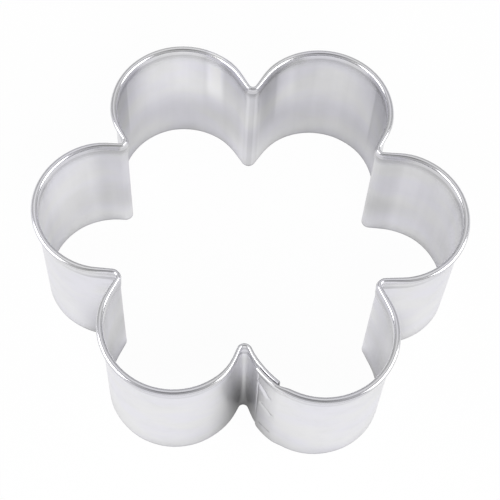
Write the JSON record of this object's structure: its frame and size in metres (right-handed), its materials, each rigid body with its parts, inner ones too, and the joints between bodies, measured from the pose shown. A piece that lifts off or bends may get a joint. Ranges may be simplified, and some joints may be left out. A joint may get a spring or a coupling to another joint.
{
  "type": "scalloped biscuit cutter",
  "caption": "Flower-shaped open ring of bent tinplate strip with a curled top bead, a plain cutting edge and a spot-welded lap, for cutting biscuit dough.",
  "frame": {"origin": "middle of the cutter's bounding box, on the plane of the cutting edge", "axes": "+Z from the cutting edge up to the bead, +X through the middle of a petal, -Y towards the lapped and welded ends"},
  "size_m": [0.0702, 0.0638, 0.0254],
  "materials": {
    "tinplate": "bright satin tin plating with faint rolling grain",
    "weld_metal": "pressed and slightly dulled by the weld"
  },
  "bodies": {
    "root": {"cutter_strip": "tinplate", "lower_spot_weld": "weld_metal", "middle_spot_weld": "weld_metal", "upper_spot_weld": "weld_metal"}
  },
  "joints": []
}
